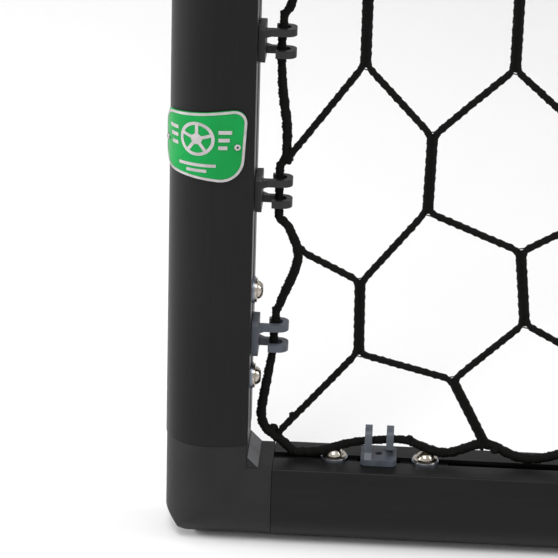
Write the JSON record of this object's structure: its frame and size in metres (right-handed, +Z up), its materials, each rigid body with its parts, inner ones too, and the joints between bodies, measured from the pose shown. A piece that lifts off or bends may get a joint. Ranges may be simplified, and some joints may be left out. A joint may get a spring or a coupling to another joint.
{
  "type": "soccer goal frame",
  "caption": "Garden soccer goal: black D-section aluminium frame with slotted rails, cast corners, sliding net clips and a knotless hexagonal net.",
  "frame": {"origin": "on the ground, under the middle of the whole goal", "axes": "+X along the width of the goal, +Y from the mouth to the rear, +Z up; the mouth faces -Y"},
  "size_m": [2.2018, 0.8013, 1.1999],
  "materials": {
    "rail": "black satin anodised extrusion",
    "casting": "fine-textured black powder coat",
    "insert": "zinc plated steel",
    "bolt": "bright stainless steel",
    "washer": "zinc plated steel",
    "corner_clip": "slate grey moulded nylon",
    "sliding_clip": "black moulded nylon",
    "net": "black knitted cord",
    "badge": "green enamelled aluminium with a bright border",
    "rivet": "bright rivet heads"
  },
  "bodies": {
    "frame": {"badge_plate": "badge", "badge_rivets": "rivet", "bottom_corner_left": "casting", "bottom_corner_right": "casting", "bottom_insert_left": "insert", "bottom_insert_right": "insert", "corner_bolts": "bolt", "corner_washers": "washer", "crossbar": "rail", "net_back": "net", "net_left": "net", "net_right": "net", "post_left": "rail", "post_right": "rail", "rear_bar": "rail", "rear_corner_left": "casting", "rear_corner_right": "casting", "rear_insert_left": "insert", "rear_insert_right": "insert", "side_bar_left": "rail", "side_bar_right": "rail", "top_corner_left": "casting", "top_corner_right": "casting", "top_insert_left": "insert", "top_insert_right": "insert"},
    "post_left_clip_set": {"post_left_clips": "sliding_clip", "post_left_corner_clips": "corner_clip"},
    "post_right_clip_set": {"post_right_clips": "sliding_clip", "post_right_corner_clips": "corner_clip"},
    "side_bar_left_clip_set": {"side_bar_left_clips": "sliding_clip", "side_bar_left_corner_clips": "corner_clip"},
    "side_bar_right_clip_set": {"side_bar_right_clips": "sliding_clip", "side_bar_right_corner_clips": "corner_clip"},
    "crossbar_clip_set": {"crossbar_clips": "sliding_clip", "crossbar_corner_clips": "corner_clip"},
    "rear_bar_clip_set": {"rear_bar_clips": "sliding_clip", "rear_bar_corner_clips": "corner_clip"}
  },
  "joints": [
    {"name": "post_left_clip_slide", "type": "slide", "parent": "frame", "child": "post_left_clip_set", "axis": [0, 0, 1], "range_m": [-0.008, 0.008]},
    {"name": "post_right_clip_slide", "type": "slide", "parent": "frame", "child": "post_right_clip_set", "axis": [0, 0, 1], "range_m": [-0.008, 0.008]},
    {"name": "side_bar_left_clip_slide", "type": "slide", "parent": "frame", "child": "side_bar_left_clip_set", "axis": [0, 1, 0], "range_m": [-0.008, 0.008]},
    {"name": "side_bar_right_clip_slide", "type": "slide", "parent": "frame", "child": "side_bar_right_clip_set", "axis": [0, 1, 0], "range_m": [-0.008, 0.008]},
    {"name": "crossbar_clip_slide", "type": "slide", "parent": "frame", "child": "crossbar_clip_set", "axis": [1, 0, 0], "range_m": [-0.008, 0.008]},
    {"name": "rear_bar_clip_slide", "type": "slide", "parent": "frame", "child": "rear_bar_clip_set", "axis": [1, 0, 0], "range_m": [-0.008, 0.008]}
  ]
}
